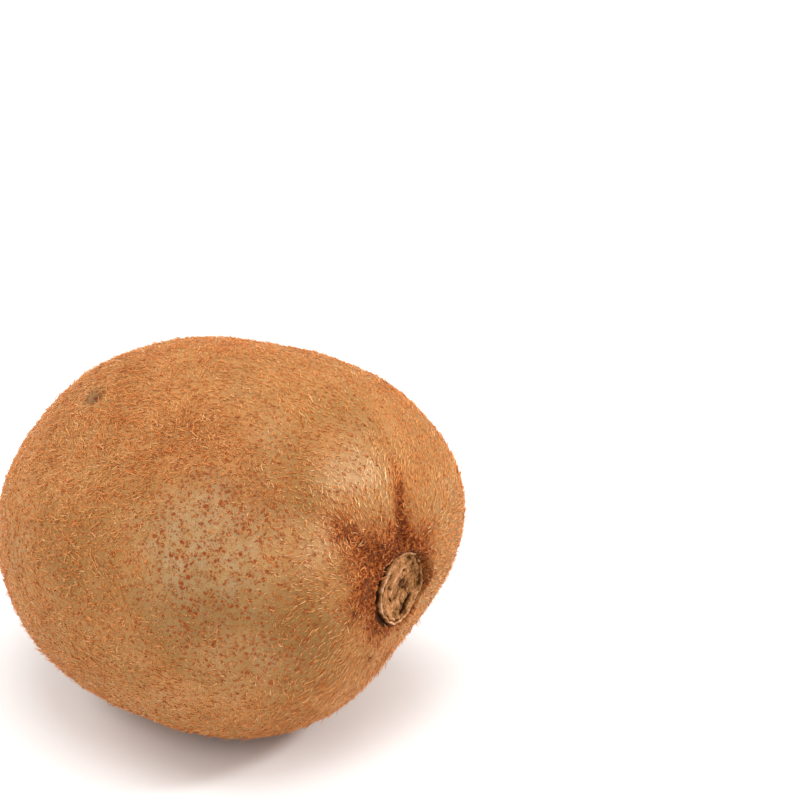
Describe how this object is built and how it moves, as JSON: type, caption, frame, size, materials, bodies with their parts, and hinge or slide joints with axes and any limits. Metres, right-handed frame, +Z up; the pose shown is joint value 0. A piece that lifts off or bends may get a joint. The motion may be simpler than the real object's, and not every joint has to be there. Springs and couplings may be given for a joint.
{
  "type": "kiwi fruit",
  "caption": "Whole furry brown kiwi fruit lying on its side on a small flat spot, with a woody stalk scar at one end and dried styles at the other.",
  "frame": {"origin": "the middle of the fruit's box seen from above, on the plane that the fruit rests on", "axes": "+X along the fruit towards the stalk scar, +Z up as the fruit lies, +Y across it"},
  "size_m": [0.064, 0.0562, 0.0505],
  "materials": {
    "furry_skin": "dull tan-brown skin under short orange-brown hair, paler and olive where the hair is thin, red-brown round the stalk scar",
    "dry_stalk_wood": "dry grey-tan, matt, ringed and split",
    "dry_flower_remains": "dry dark brown, matt"
  },
  "bodies": {
    "root": {"fruit": "furry_skin", "stem_scar": "dry_stalk_wood", "style_remains": "dry_flower_remains"}
  },
  "joints": []
}
